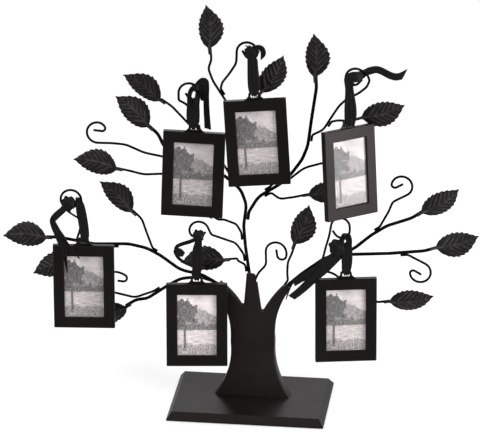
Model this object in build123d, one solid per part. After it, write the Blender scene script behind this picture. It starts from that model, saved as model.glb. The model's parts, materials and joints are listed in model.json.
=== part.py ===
"""Photo tree stand: a pressed steel trunk on a bevelled plinth carries bent wire branches, twigs,
stamped leaves and scroll hooks, and six small picture frames hang from the hooks on tied ribbons.

Millimetres. X runs to the right along the plinth, Y runs to the back, Z runs up.
The origin is the centre of the felt underside, on the table top.
"""

from build123d import *
from math import atan2, cos, degrees, hypot, radians, sin, tan
import os

# Plinth
PLINTH_W = 172.0
PLINTH_D = 118.0
PLINTH_H = 9.0
PLINTH_EDGE_H = 1.5
PLINTH_BEVEL = 5.5
FELT_T = 1.0
FELT_INSET = 3.0
PLINTH_TOP = FELT_T + PLINTH_H

# Screws and nuts that hold the trunk on the plinth
SCREW_D = 4.0
SCREW_HOLE_D = 4.5
SCREW_HEAD_D = 8.0
SCREW_HEAD_H = 2.6
SCREW_SINK_D = 9.0
SCREW_SINK_H = 3.4
SCREW_ABOVE_NUT = 1.5
SCREW_SPACING = 40.0
FELT_HOLE_D = 12.0
NUT_AF = 7.0
NUT_H = 3.2
NUT_THREAD_GAP = 0.02

# Steel bar of the branches and twigs
BRANCH_D = 3.6
TWIG_D = 2.6
WELD_GAP = 0.05
WELD_L = 8.0
STRAIGHT_AT_LEAF = 14.0
BEND_SHARE = 0.32
BEND_MAX = 40.0

# Pressed trunk
TRUNK_WALL = 1.2
TRUNK_DEPTH = 12.0
PRONG_DEPTH = 6.0
PRONG_FOOT_Z = 108.0
TRUNK_EDGE_R = 2.6
TRUNK_TIP_R = 3.2
TRUNK_NOTCH_R = 1.4
TRUNK_WAIST_R = 60.0
TRUNK_FRONT = -(BRANCH_D / 2 + WELD_GAP + TRUNK_WALL)
TRUNK_BACK = TRUNK_FRONT + TRUNK_DEPTH
TRUNK_MID_X = 2.0
FOOT_HALF_W = 42.0
WAIST_HALF_W = 24.5
WAIST_Z = 74.0
PRONG_EXIT_R = 6.4
SCREW_Y = TRUNK_FRONT + TRUNK_DEPTH / 2 + 1.0

# Stamped leaf
LEAF_L = 48.0
LEAF_W = 26.0
LEAF_BOW = 3.0
LEAF_T = 0.7
LEAF_CUP_R = 30.0
LEAF_TEETH = 9
LEAF_TOOTH = 1.5
LEAF_TAB_L = 7.0
LEAF_TAB_W = 2.6
LEAF_VEINS = 5
VEIN_ANGLE = 50.0
VEIN_W = 0.8
VEIN_H = 0.45

# Hanging frame
FRAME_W = 66.5
FRAME_H = 97.0
FRAME_T = 6.0
FRAME_EDGE_R = 1.0
WINDOW_W = 42.5
WINDOW_H = 71.5
WINDOW_BEVEL = 0.8
LIP_T = 1.8
PRINT_W = 50.8
PRINT_H = 76.2
PRINT_T = 0.3
GLASS_T = 1.2
BOARD_T = 1.5
POCKET_GAP = 0.3
POCKET_W = PRINT_W + 2.0
POCKET_H = PRINT_H + 2.0
TONGUE_W = 7.0
TONGUE_REACH = 4.0
TONGUE_T = 0.6

# Hanging eye on top of the frame
EYE_W = 7.8
EYE_H = 3.8
EYE_CORNER_R = 0.8
EYE_BRIDGE = 2.6
EYE_WALL = 2.3
EYE_ABOVE_FRAME = 6.0
FRAME_OVER_HOOK = 5.2
EYE_T = 1.8
EYE_ROOT = 2.5
EYE_FLARE_W = 27.0
EYE_SHOULDER = 3.4
EYE_CROWN = 2.6
EYE_HOLLOW = 0.3
EYE_NECK_W = EYE_W + 2 * EYE_WALL

# Ribbon
RIBBON_W = 5.0
RIBBON_T = 0.8
RIBBON_OVER_WIRE = 1.4
RIBBON_TOP_R = 2.8
RIBBON_EYE_GAP = 1.0
RIBBON_EYE_HALF = 3.6
RIBBON_EYE_RISE = 4.0
RIBBON_CORNER_R = 0.7
RIBBON_TURN_SHARE = 0.3
KNOT_W = 11.0
KNOT_H = 9.0
KNOT_D = 11.0
KNOT_DROP = 8.5
KNOT_Y = -1.5
KNOT_R = 3.0
TAIL_W = 5.6
TAIL_BEND_SHARE = 0.48
TAIL_FRONT = 6.2

PICTURE_PLANE = Plane((0, 0, 0), x_dir=(1, 0, 0), z_dir=(0, -1, 0))


def heading(start, end):
    """Angle in degrees of a run seen from the front, from +X towards +Z."""
    return degrees(atan2(end[2] - start[2], end[0] - start[0]))


def towards(angle, length):
    """A step in the picture plane."""
    return Vector(cos(radians(angle)), 0, sin(radians(angle))) * length


def bend_radii(points, share=BEND_SHARE):
    """The bend at each corner of a route, taking a share of the shorter of its two runs."""
    radii = []
    for a, b, c in zip(points, points[1:], points[2:]):
        turn = radians((b - a).get_angle(c - b))
        shorter = min((b - a).length, (c - b).length)
        radii.append(min(share * shorter / tan(turn / 2), BEND_MAX))
    return radii


class Bar:
    """A round steel bar bent along a route, with a scroll or a leaf at its free end."""

    def __init__(self, route, diameter=TWIG_D, scroll=None, leaf=None, lean=0):
        self.points = [Vector(*p) for p in route]
        self.diameter = diameter
        self.scroll = scroll
        self.lean = lean
        self.leaf = leaf
        self.leaf_roll = 0.0
        if leaf is not None:
            angle, self.leaf_roll = leaf
            end = self.points[-1]
            self.points.insert(-1, end - towards(angle, STRAIGHT_AT_LEAF))

    def beside(self, run, share, side, diameter=TWIG_D, length=WELD_L):
        """Two points of another bar welded alongside one run of this bar, share being its middle."""
        start, end = self.points[run], self.points[run + 1]
        along = (end - start).normalized()
        left = Vector(-along.Z, 0, along.X).normalized()
        across = {"left": left, "right": -left, "front": Vector(0, -1, 0), "back": Vector(0, 1, 0)}[side]
        middle = start + (end - start) * share + across * ((self.diameter + diameter) / 2 + WELD_GAP)
        first = middle - along * (length / 2)
        return [tuple(first), tuple(first + along * length)]

    def scroll_arcs(self):
        """Tangent arcs of the scroll as (centre, radius, first heading, last heading, sense)."""
        sense, turns, _ = self.scroll
        at, angle = self.points[-1], heading(tuple(self.points[-2]), tuple(self.points[-1]))
        if sense * (turns[0][1] - angle) < 0:
            angle -= 360 * sense
        arcs = []
        for radius, last in turns:
            centre = at + towards(angle + 90 * sense, radius)
            arcs.append((centre, radius, angle, last, sense))
            at, angle = centre + towards(last - 90 * sense, radius), last
        return arcs

    def path(self):
        """The bar's centre line."""
        if len(self.points) > 2:
            edges = list(FilletPolyline(*self.points, radius=bend_radii(self.points)).edges())
        else:
            edges = [Edge.make_line(*self.points)]
        if self.scroll is not None:
            for centre, radius, first, last, sense in self.scroll_arcs():
                on_arc = [
                    centre + towards(first + (last - first) * share - 90 * sense, radius)
                    for share in (0, 0.5, 1)
                ]
                edges.append(ThreePointArc(*on_arc).edge())
            end = edges[-1] @ 1
            edges.append(Edge.make_line(end, end + towards(last, self.scroll[2])))
        return Wire(edges)

    def solid(self):
        path = self.path()
        start = Plane(path @ 0, z_dir=path % 0)
        return sweep(start * Circle(self.diameter / 2), path=path)

    def hang_point(self):
        """Where a leaning ribbon hangs at the bottom of the scroll's last full bend."""
        centre, radius = self.scroll_arcs()[-1][:2]
        return centre + towards(self.lean - 90, radius)

    def scroll_top(self):
        """Height of the wire's upper side over the scroll."""
        centre, radius = self.scroll_arcs()[0][:2]
        return centre.Z + radius + self.diameter / 2

    def leaf_place(self):
        """Where the leaf lies on the front of the bar's straight end."""
        end, before = self.points[-1], self.points[-2]
        along = (end - before).normalized()
        across = Vector(0, -1, 0).rotate(Axis((0, 0, 0), tuple(along)), self.leaf_roll)
        seat = end + across * (self.diameter / 2 + WELD_GAP)
        return Plane(seat, x_dir=along, z_dir=across)


def make_tree():
    """All bars of the tree by name, each welded beside the bar that carries it."""
    bars = {}

    def add(name, *route, **how):
        bars[name] = Bar(route, **how)
        return bars[name]

    # Main branches
    centre = add(
        "centre", (1, 0, 108), (-1, 0, 150), (-6, 0, 186), (-8, 0, 211), (-5, 0, 235), (-11, 0, 252),
        (-28, 0, 267), (-55, 0, 281), (-79, 0, 286), (-94.5, 0, 298.5), (-111, 0, 321.6),
        diameter=BRANCH_D, leaf=(138, 12),
    )
    upright = add(
        "upper_right", *centre.beside(3, 0.5, "right", BRANCH_D, 9), (8, 0, 245), (32, 0, 261),
        (44, 0, 274), (55, 0, 290), (61, 0, 306), (65, 0, 338), (69.2, 0, 386.2),
        diameter=BRANCH_D, leaf=(92.5, -14),
    )
    left_up = add(
        "left_upper", (-14, 0, 118), (-38, 0, 142), (-54, 0, 151), (-77, 0, 155), (-99, 0, 171),
        (-114, 0, 179), (-134, 0, 183), (-172, 0, 181), (-224.5, 0, 186.7),
        diameter=BRANCH_D, leaf=(181, 10),
    )
    left_low = add(
        "left_lower", (-14, 3.7, 117), (-38, 3.7, 141), (-57, 3, 147), (-77, 1, 144.5), (-90, 0, 137),
        (-114, 0, 119.5), (-138.5, 4, 107.8), diameter=BRANCH_D, leaf=(214, -10),
    )
    right_up = add(
        "right_upper", (20, 0, 114), (41, 0, 144), (56, 0, 158), (80, 0, 177), (110, 0, 188),
        (130, 0, 206), (147, 0, 218), (185, 0, 236.6), diameter=BRANCH_D, leaf=(36.5, 12),
    )
    right_low = add(
        "right_lower", (20.5, 3.7, 113), (41.4, 3.7, 142.4), (57, 3, 153), (80, 2, 171), (104, 1, 182),
        (150, 0, 186), (201.4, 0, 195.6), diameter=BRANCH_D, leaf=(19.5, -12),
    )
    top = add(
        "top", *upright.beside(2, 0.5, "left"), (32, 0, 273), (27, 0, 300), (4, 0, 324), (-12, 0, 338),
        (-27, 0, 353), (-41, 0, 375), (-46, 0, 389), (-43.8, 0, 413.3), leaf=(95, -8),
    )

    # Twigs that end in a leaf
    add("leaf_fork", *centre.beside(1, 0.32, "left"), (-14, 0, 169), (-29, 0, 170), leaf=(187, 8))
    add(
        "leaf_behind", *centre.beside(2, 0.5, "left"), (-16, 2, 211), (-30, 4, 215), (-48, 4, 221),
        leaf=(152, -10),
    )
    leaf_five = add(
        "leaf_upper_left", *centre.beside(5, 0.5, "right"), (-31, 0, 283), (-48, 0, 304), (-69, 0, 327),
        (-97.4, 0, 352.6), leaf=(146.5, -12),
    )
    add(
        "leaf_left", *centre.beside(6, 0.5, "left"), (-64, 1, 272), (-82, 2, 267), (-117, 2, 264),
        (-146, 0, 270.8), leaf=(170, 9),
    )
    add(
        "leaf_over_left", *left_up.beside(4, 0.5, "right", length=6), (-114, 0, 197),
        (-129.5, 0, 222.7), leaf=(137, -9),
    )
    add(
        "leaf_low_left", *left_up.beside(6, 0.4, "left"), (-160, 5, 172), (-180, 6, 161.5), (-195.6, 6, 156),
        leaf=(199, 14),
    )
    add("leaf_top", *top.beside(4, 0.5, "right"), (11, 0, 366), leaf=(61, 14))
    add(
        "leaf_mid_right", *upright.beside(2, 0.36, "right"), (31, 2, 242.6), (47, 4, 245), (62.6, 4, 249.2),
        leaf=(15, 6),
    )
    add(
        "leaf_right_prong", *right_up.beside(0, 1.0, "left", length=7), (39.6, 0, 158), (40.2, 0, 170),
        (48.5, 0, 193), leaf=(72, -16),
    )
    add(
        "leaf_low_right", *right_low.beside(2, 0.5, "right"), (90, 4, 158), (112, 5, 138), (132, 4, 129),
        (152, 2, 129.8), leaf=(10.5, 10),
    )

    # Scroll hooks that carry a frame
    add(
        "hook_left", *left_up.beside(7, 0.4, "front"), (-186, -9, 200), (-182.5, -18, 215), (-181, -26, 229),
        (-181, -26, 242), scroll=(1, [(11.2, 270), (9.5, 405)], 4), lean=17,
    )
    add(
        "hook_lower_left", *centre.beside(1, 0.66, "left"), (-16, -3, 191), (-31, -19, 203), (-40, -26, 209),
        (-43.5, -26, 217), scroll=(1, [(10.5, 270), (8, 410)], 5),
    )
    add(
        "hook_upper_left", *leaf_five.beside(3, 0.42, "right"), (-61, -5, 338), (-68, -14, 353),
        (-75, -22, 360), (-75, -22, 368), scroll=(-1, [(11.5, -90), (7, -235)], 5),
    )
    add(
        "hook_top", *top.beside(6, 0.42, "right"), (-30, -8, 377), (-20, -26, 394), (-12, -32, 408),
        (-11.5, -32, 421), scroll=(-1, [(11, -90), (7, -240)], 6),
    )
    hook_e = add(
        "hook_upper_right", *upright.beside(6, 0.3, "right", length=7), (78, -5, 327), (88, -9, 345),
        (95.5, -11, 357.5), (104, -13, 366.5), (116, -15, 373.5), (125, -19, 382.5), (128.5, -24, 392),
        (125.4, -26, 400.5), (118.4, -26, 404), scroll=(1, [(10.5, 270), (8, 410)], 5),
    )
    add(
        "hook_lower_right", *right_up.beside(2, 0.78, "front"), (80.5, -9, 186), (83.5, -18, 199),
        (87.5, -26, 214), (89.5, -26, 226.7), scroll=(-1, [(10, -83), (30, -95), (8.5, -235)], 5),
    )
    add(
        "leaf_over_right", *hook_e.beside(2, 0.5, "right", length=7), (93.3, 0, 336.6), (118.9, 6, 338.9),
        leaf=(20, -8),
    )

    # Bare scrolls
    add(
        "scroll_upper_left", *centre.beside(7, 0.5, "left"), (-96, 0, 286.5), (-116, 0, 290),
        (-136, 0, 298.5), (-151, 0, 299.3), (-166, 0, 299),
        scroll=(-1, [(11.7, 0), (9, -60), (3.5, -185)], 9),
    )
    add(
        "scroll_low_left", *left_low.beside(4, 0.5, "right"), (-128, 2, 119), (-142, 4, 121),
        (-154, 4, 123.5), scroll=(-1, [(12, 10), (20, -35), (4, -185)], 6),
    )
    add(
        "scroll_centre", *centre.beside(0, 0.62, "right", length=16), (8, 0, 156),
        (17, -3, 167), (16.5, -3, 182.5), scroll=(-1, [(11, -60), (15, -100), (5, -262)], 7),
    )
    add(
        "scroll_behind", *upright.beside(3, 0.5, "right", length=7), (57, 3, 279.5), (75, 4, 285),
        (92, 5, 288), scroll=(1, [(10.5, 180), (10, 260), (3.5, 390)], 7),
    )
    add(
        "scroll_upper_right", *right_up.beside(5, 0.5, "left", length=7), (149, 0, 235), (153, 0, 246),
        (168, 0, 254.5), scroll=(1, [(11.3, 180), (11, 260), (3.5, 390)], 8),
    )
    add(
        "scroll_right", *right_low.beside(5, 0.42, "right"), (177, 0, 182), (189, 0, 176),
        scroll=(-1, [(11.5, -180), (11, -260), (3.5, -390)], 8),
    )
    return bars


def make_leaf():
    """One stamped leaf: serrated, cupped across its length, with a raised midrib and side veins."""

    def edge_at(share):
        """Half width of the smooth outline at a share of the length."""
        return LEAF_W / 2 * (sin(radians(180 * share ** 0.8)) ** 0.75)

    def bow_at(x):
        """How far the leaf's middle line bows to one side at a length along it."""
        return -LEAF_BOW * 4 * x * (LEAF_L - x) / LEAF_L ** 2

    upper = [(0.0, LEAF_TAB_W / 2)]
    for tooth in range(1, LEAF_TEETH):
        share = tooth / LEAF_TEETH
        notch = share + 0.12 / LEAF_TEETH
        upper.append((LEAF_L * share, edge_at(share) + LEAF_TOOTH / 2))
        upper.append((LEAF_L * notch, edge_at(notch) - LEAF_TOOTH / 2))
    lower = [(x, -y) for x, y in reversed(upper)]
    blade = [(x, y + bow_at(x)) for x, y in [*upper, (LEAF_L, 0), *lower]]
    outline = [*blade, (-LEAF_TAB_L, -LEAF_TAB_W / 2), (-LEAF_TAB_L, LEAF_TAB_W / 2)]
    blank = extrude(make_face(Polyline(*outline, close=True)), LEAF_CUP_R, both=True)

    def cupped(thickness, base):
        """A skin bent round the leaf's length, its crown lying base above the seat."""
        centre = Plane((LEAF_L / 2, 0, base - LEAF_CUP_R), x_dir=(0, 1, 0), z_dir=(1, 0, 0))
        length = 2 * (LEAF_L + LEAF_TAB_L)
        outer = centre * Cylinder(LEAF_CUP_R + thickness, length)
        return outer - centre * Cylinder(LEAF_CUP_R, length)

    midrib = [(LEAF_L * share, bow_at(LEAF_L * share)) for share in (0.01, 0.46, 0.91)]
    ribs = trace(ThreePointArc(*midrib), VEIN_W)
    for number in range(1, LEAF_VEINS + 1):
        root = LEAF_L * number / (LEAF_VEINS + 2.2)
        reach = 0.9 * edge_at(min(root / LEAF_L + 0.12, 0.9)) / sin(radians(VEIN_ANGLE))
        for side in (1, -1):
            vein = Pos(reach / 2, 0) * Rectangle(reach, VEIN_W * 0.75)
            ribs += Pos(root, bow_at(root)) * Rot(0, 0, side * VEIN_ANGLE) * vein
    raised = extrude(ribs, LEAF_CUP_R, both=True) & cupped(VEIN_H + LEAF_T / 2, LEAF_T / 2)
    return (blank & cupped(LEAF_T, 0)) + raised


def make_trunk():
    """Pressed trunk: a front skin with its edge turned back all round, less so at the prongs."""
    left, right = TRUNK_MID_X - FOOT_HALF_W, TRUNK_MID_X + FOOT_HALF_W
    waist_left, waist_right = TRUNK_MID_X - WAIST_HALF_W, TRUNK_MID_X + WAIST_HALF_W
    left_tip, left_notch = [(-42, 137), (-35, 145.5)], (-8, 115)
    centre_tip, right_notch = [(-4.6, 157.5), (5.4, 156)], (12, 109)
    right_tip = [(37.5, 145), (44, 140)]
    edges = [
        ThreePointArc((left, PLINTH_TOP), (waist_left - 2.6, 40), (waist_left, WAIST_Z)),
        ThreePointArc((waist_left, WAIST_Z), (-27, 110), left_tip[0]),
        Line(*left_tip),
        ThreePointArc(left_tip[1], (-21, 133), left_notch),
        Line(left_notch, centre_tip[0]),
        Line(*centre_tip),
        Line(centre_tip[1], right_notch),
        ThreePointArc(right_notch, (24, 129), right_tip[0]),
        Line(*right_tip),
        ThreePointArc(right_tip[1], (30.3, 112), (waist_right, WAIST_Z)),
        ThreePointArc((waist_right, WAIST_Z), (waist_right + 3.2, 40), (right, PLINTH_TOP)),
        Line((right, PLINTH_TOP), (left, PLINTH_TOP)),
    ]
    outline = make_face(edges)

    def near(*places):
        return [outline.vertices().sort_by_distance((x, z, 0))[0] for x, z in places]

    outline = fillet(near(*left_tip, *centre_tip, *right_tip), TRUNK_TIP_R)
    outline = fillet(near(left_notch, right_notch), TRUNK_NOTCH_R)
    outline = fillet(near((waist_left, WAIST_Z), (waist_right, WAIST_Z)), TRUNK_WAIST_R)
    hollow = make_face([
        Line(edge @ 0, edge @ 1) if edge.geom_type == GeomType.LINE
        else ThreePointArc(edge @ 0, edge @ 0.5, edge @ 1)
        for edge in offset(outline, -TRUNK_WALL).face().outer_wire().edges()
    ])

    def pressed(face, front, edge_r):
        block = extrude(Pos(0, front, 0) * (PICTURE_PLANE * face), TRUNK_BACK - front, dir=(0, 1, 0))
        front_edges = block.faces().sort_by(Axis.Y)[0].edges().sort_by(Axis.Z)[1:]
        return fillet(front_edges, edge_r)

    trunk = pressed(outline, TRUNK_FRONT, TRUNK_EDGE_R)
    trunk -= pressed(hollow, TRUNK_FRONT + TRUNK_WALL, TRUNK_EDGE_R - TRUNK_WALL)
    prong_back = TRUNK_FRONT + PRONG_DEPTH
    side = Plane((0, 0, 0), x_dir=(0, 1, 0), z_dir=(1, 0, 0))
    slope = make_face(Polyline(
        (TRUNK_BACK, WAIST_Z), (prong_back, PRONG_FOOT_Z), (prong_back, 2 * PRONG_FOOT_Z),
        (TRUNK_BACK, 2 * PRONG_FOOT_Z), close=True,
    ))
    trunk -= extrude(side * slope, 2 * FOOT_HALF_W, both=True)
    for x, z in ((-40, 143.5), (0.5, 158), (6.5, 150.5), (41, 144.4)):
        exit_hole = Cylinder(PRONG_EXIT_R, TRUNK_DEPTH, rotation=(90, 0, 0))
        trunk -= Pos(x, TRUNK_FRONT + TRUNK_WALL + TRUNK_DEPTH / 2, z) * exit_hole
    for place in screw_places():
        trunk -= place * Cylinder(SCREW_HOLE_D / 2, 4 * TRUNK_WALL)
    return trunk


def screw_places():
    """Where the two screws come up through the trunk's foot."""
    return [Pos(TRUNK_MID_X + side * SCREW_SPACING / 2, SCREW_Y, PLINTH_TOP) for side in (-1, 1)]


def make_plinth():
    bottom = Pos(0, 0, FELT_T) * Rectangle(PLINTH_W, PLINTH_D)
    slope = degrees(atan2(PLINTH_BEVEL, PLINTH_H - PLINTH_EDGE_H))
    plinth = extrude(bottom, PLINTH_EDGE_H)
    plinth += extrude(plinth.faces().sort_by(Axis.Z)[-1], PLINTH_H - PLINTH_EDGE_H, taper=slope)
    for place in screw_places():
        plinth -= place * Cylinder(SCREW_HOLE_D / 2, 3 * PLINTH_H)
        sink = Cylinder(SCREW_SINK_D / 2, SCREW_SINK_H, align=(Align.CENTER, Align.CENTER, Align.MIN))
        plinth -= place * Pos(0, 0, -PLINTH_H) * sink
    return plinth


def make_felt():
    sheet = extrude(Rectangle(PLINTH_W - 2 * FELT_INSET, PLINTH_D - 2 * FELT_INSET), FELT_T)
    for place in screw_places():
        sheet -= place * Cylinder(FELT_HOLE_D / 2, 3 * PLINTH_TOP)
    return sheet


def make_screws():
    """Pan-head screws, heads sunk in the plinth, and the nuts inside the trunk's foot."""
    up = (Align.CENTER, Align.CENTER, Align.MIN)
    nut_seat = TRUNK_WALL
    head_seat = SCREW_SINK_H - PLINTH_H
    shank_l = nut_seat + NUT_H + SCREW_ABOVE_NUT - head_seat
    head = Pos(0, 0, head_seat - SCREW_HEAD_H) * Cylinder(SCREW_HEAD_D / 2, SCREW_HEAD_H, align=up)
    head = fillet(head.edges().sort_by(Axis.Z)[0], SCREW_HEAD_H * 0.4)
    screw = head + Pos(0, 0, head_seat) * Cylinder(SCREW_D / 2, shank_l, align=up)
    nut = extrude(RegularPolygon(NUT_AF / 2, 6, major_radius=False), NUT_H)
    nut -= Cylinder(SCREW_D / 2 + NUT_THREAD_GAP, 3 * NUT_H)
    nut = Pos(0, 0, nut_seat) * nut
    places = screw_places()
    return Compound([place * screw for place in places]), Compound([place * nut for place in places])


class HangingFrame:
    """One frame on its ribbon. The eye's upper edge is where the ribbon carries it."""

    def __init__(self, eye, turn, roll, *tails, tilt=0):
        self.eye = Vector(*eye)
        self.turn = turn
        self.roll = roll
        self.tails = tails
        self.place = Pos(*eye) * Rot(0, 0, turn) * Rot(0, -roll, 0) * Rot(-tilt, 0, 0)

    def front(self):
        """The frame with its flared hanging eye, a pocket behind, and bent tongues."""
        middle = Pos(0, 0, -EYE_ABOVE_FRAME - FRAME_H / 2)
        body = middle * Box(FRAME_W, FRAME_T, FRAME_H)
        face = body.faces().sort_by(Axis.Y)[0]
        body = fillet(face.edges() + body.edges().filter_by(Axis.Y), FRAME_EDGE_R)
        body -= middle * Box(WINDOW_W, 2 * FRAME_T, WINDOW_H)
        pocket_back = FRAME_T - LIP_T
        pocket = Pos(0, LIP_T / 2, 0) * Box(POCKET_W, pocket_back, POCKET_H)
        body -= middle * pocket
        inner = body.edges().filter_by_position(Axis.Y, -FRAME_T / 2 - 0.01, -FRAME_T / 2 + 0.01)
        inner = [e for e in inner if abs(e.center().X) < WINDOW_W / 2 + 0.1 and e.length < WINDOW_H + 1]
        inner = [e for e in inner if abs(e.center().Z + EYE_ABOVE_FRAME + FRAME_H / 2) < WINDOW_H / 2 + 0.1]
        body = chamfer(inner, WINDOW_BEVEL)
        tongue = Box(TONGUE_REACH, TONGUE_T, TONGUE_W)
        tongue_y = board_back() + TONGUE_T / 2
        for side in (1, -1):
            for level in (1, -1):
                x = side * (POCKET_W / 2 - TONGUE_REACH / 2 + POCKET_GAP)
                body += middle * Pos(x, tongue_y, level * POCKET_H / 4) * tongue
        return body + self.hanger()

    def hanger(self):
        """The flared plate with the slotted eye, rising from the frame's top edge."""
        foot, top = -EYE_ABOVE_FRAME - EYE_ROOT, EYE_BRIDGE
        neck, flare = EYE_NECK_W / 2, EYE_FLARE_W / 2
        rise, shoulder, crown = -EYE_ABOVE_FRAME, top - EYE_SHOULDER, neck - EYE_CROWN
        hollow_x, hollow_z = neck + EYE_HOLLOW * (flare - neck), rise + EYE_HOLLOW * (shoulder - rise)
        round_x, round_z = neck - EYE_HOLLOW * EYE_CROWN, top - EYE_HOLLOW * EYE_CROWN
        edges = [
            Line((-flare, foot), (flare, foot)),
            Line((flare, foot), (flare, rise)),
            ThreePointArc((flare, rise), (hollow_x, hollow_z), (neck, shoulder)),
            ThreePointArc((neck, shoulder), (round_x, round_z), (crown, top)),
            Line((crown, top), (-crown, top)),
            ThreePointArc((-crown, top), (-round_x, round_z), (-neck, shoulder)),
            ThreePointArc((-neck, shoulder), (-hollow_x, hollow_z), (-flare, rise)),
            Line((-flare, rise), (-flare, foot)),
        ]
        plate = make_face(edges) - Pos(0, -EYE_H / 2) * RectangleRounded(EYE_W, EYE_H, EYE_CORNER_R)
        return extrude(PICTURE_PLANE * plate, EYE_T / 2, both=True)

    def layer(self, width, height, thickness, front):
        """A flat piece in the pocket, its front face at a depth behind the lip."""
        middle = Pos(0, front + thickness / 2, -EYE_ABOVE_FRAME - FRAME_H / 2)
        return middle * Box(width, thickness, height)

    def glass(self):
        return self.layer(POCKET_W - POCKET_GAP, POCKET_H - POCKET_GAP, GLASS_T, lip_back())

    def print_sheet(self):
        return self.layer(PRINT_W, PRINT_H, PRINT_T, lip_back() + GLASS_T)

    def board(self):
        front = board_back() - BOARD_T
        return self.layer(POCKET_W - POCKET_GAP, POCKET_H - POCKET_GAP, BOARD_T, front)

    def ribbon(self, hook):
        """A loop over the hook's wire and through the eye, a knot under the hook, and its tails."""
        hang = hook.hang_point()
        drop = hang - self.eye
        length = hypot(drop.X, drop.Z)
        lean = degrees(atan2(drop.X, drop.Z))
        inner_top = hook.diameter / 2 + RIBBON_OVER_WIRE
        strap = self.strap(length, inner_top, 0) - self.strap(length, inner_top, RIBBON_T)
        strap = Pos(*self.eye) * Rot(0, lean, 0) * Rot(0, 0, self.turn * RIBBON_TURN_SHARE) * strap
        knot = fillet(Box(KNOT_W, KNOT_D, KNOT_H).edges(), KNOT_R)
        knot = Pos(*hang) * Pos(0, KNOT_Y, -KNOT_DROP) * knot
        keep = Pos(*hang) * Rot(0, lean, 0) * Pos(0, 0, -length / 2)
        knot -= keep * Box(2 * RIBBON_W, 2 * RIBBON_TOP_R, length)
        ribbon = strap + knot
        for tail in self.tails:
            points = [Vector(x, z) for x, z in tail]
            strip = trace(FilletPolyline(*points, radius=bend_radii(points, TAIL_BEND_SHARE)), TAIL_W)
            strip = extrude(PICTURE_PLANE * strip, RIBBON_T / 2, both=True)
            ribbon += Pos(hang.X, hang.Y - TAIL_FRONT, hang.Z) * strip
        return ribbon

    def strap(self, length, inner_top, inset):
        """The loop's side view, filled: round over the wire, flat under the eye's bridge."""
        top_r = RIBBON_TOP_R + RIBBON_T - inset
        half = RIBBON_EYE_HALF + RIBBON_T - inset
        top = length + inner_top + RIBBON_T - inset
        bottom = -RIBBON_EYE_GAP - RIBBON_T + inset
        bend = bottom + RIBBON_EYE_RISE
        side = Plane((0, 0, 0), x_dir=(0, 1, 0), z_dir=(1, 0, 0))
        edges = [
            Line((-half, bottom), (half, bottom)),
            Line((half, bottom), (half, bend)),
            Line((half, bend), (top_r, top - top_r)),
            ThreePointArc((top_r, top - top_r), (0, top), (-top_r, top - top_r)),
            Line((-top_r, top - top_r), (-half, bend)),
            Line((-half, bend), (-half, bottom)),
        ]
        face = make_face(edges)
        corners = face.vertices().sort_by(Axis.Y)[:2]
        face = fillet(corners, RIBBON_CORNER_R)
        width = RIBBON_W if inset == 0 else 2 * RIBBON_W
        return extrude(side * face, width / 2, both=True)


def lip_back():
    """Depth of the frame's front lip, where the glass lies."""
    return LIP_T - FRAME_T / 2


def board_back():
    """Depth of the backing board's rear face, under the bent tongues."""
    return lip_back() + GLASS_T + PRINT_T + BOARD_T


def make_frames(bars):
    """The six frames by name. Each tail is a route of (x, z) steps from the hook's lowest point."""
    over_hook = bars["hook_lower_right"].scroll_top() + FRAME_OVER_HOOK
    upper_right_eye = over_hook + FRAME_H + EYE_ABOVE_FRAME
    return {
        "left": HangingFrame(
            (-179.5, -26, 196), 5, 0, [(0, -6), (-10, -1), (-18, -10), (-13, -20), (-9, -33)]
        ),
        "lower_left": HangingFrame((-56, -26, 157), 7, 0, [(0, -6), (-16, -8), (-20, -17), (-10, -30)]),
        "upper_left": HangingFrame((-58, -22, 331), 3, -2, [(0, -6), (9, 2), (12, -10), (14, -27)]),
        "top": HangingFrame((7, -32, 374), 6, 3.4, [(0, -6), (8, 3), (14, 0), (13, -9)]),
        "upper_right": HangingFrame(
            (106, -26, upper_right_eye), 42, -2.8,
            [(0, -6), (10, 0), (22, 6), (34, 13), (46, 6), (60, 14)], tilt=8.6,
        ),
        "lower_right": HangingFrame(
            (106, -26, 171.5), 10, 0.5,
            [(0, -6), (-12, -13), (-34, -27), (-56, -42)],
            [(0, -6), (-10, -16), (-32, -37), (-55, -62)],
        ),
    }


TWIG_GROUPS = {
    "leaf_twigs_left": ["leaf_left", "leaf_over_left", "leaf_low_left"],
    "leaf_twigs_centre": ["leaf_fork", "leaf_behind", "leaf_upper_left"],
    "leaf_twigs_right": [
        "leaf_top", "leaf_mid_right", "leaf_right_prong", "leaf_low_right", "leaf_over_right",
    ],
    "scroll_twigs_left": ["scroll_upper_left", "scroll_low_left"],
    "scroll_twigs_right": ["scroll_centre", "scroll_behind", "scroll_upper_right", "scroll_right"],
}
LEAF_GROUPS = {
    "leaves_left": ["left_upper", "left_lower", "leaf_left", "leaf_over_left", "leaf_low_left"],
    "leaves_upper_left": ["centre", "leaf_upper_left", "leaf_behind"],
    "leaves_centre": ["leaf_fork", "leaf_mid_right", "leaf_right_prong"],
    "leaves_top": ["top", "leaf_top", "upper_right", "leaf_over_right"],
    "leaves_right": ["right_upper", "right_lower", "leaf_low_right"],
}
BRANCHES = ["centre", "upper_right", "left_upper", "left_lower", "right_upper", "right_lower", "top"]


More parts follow.
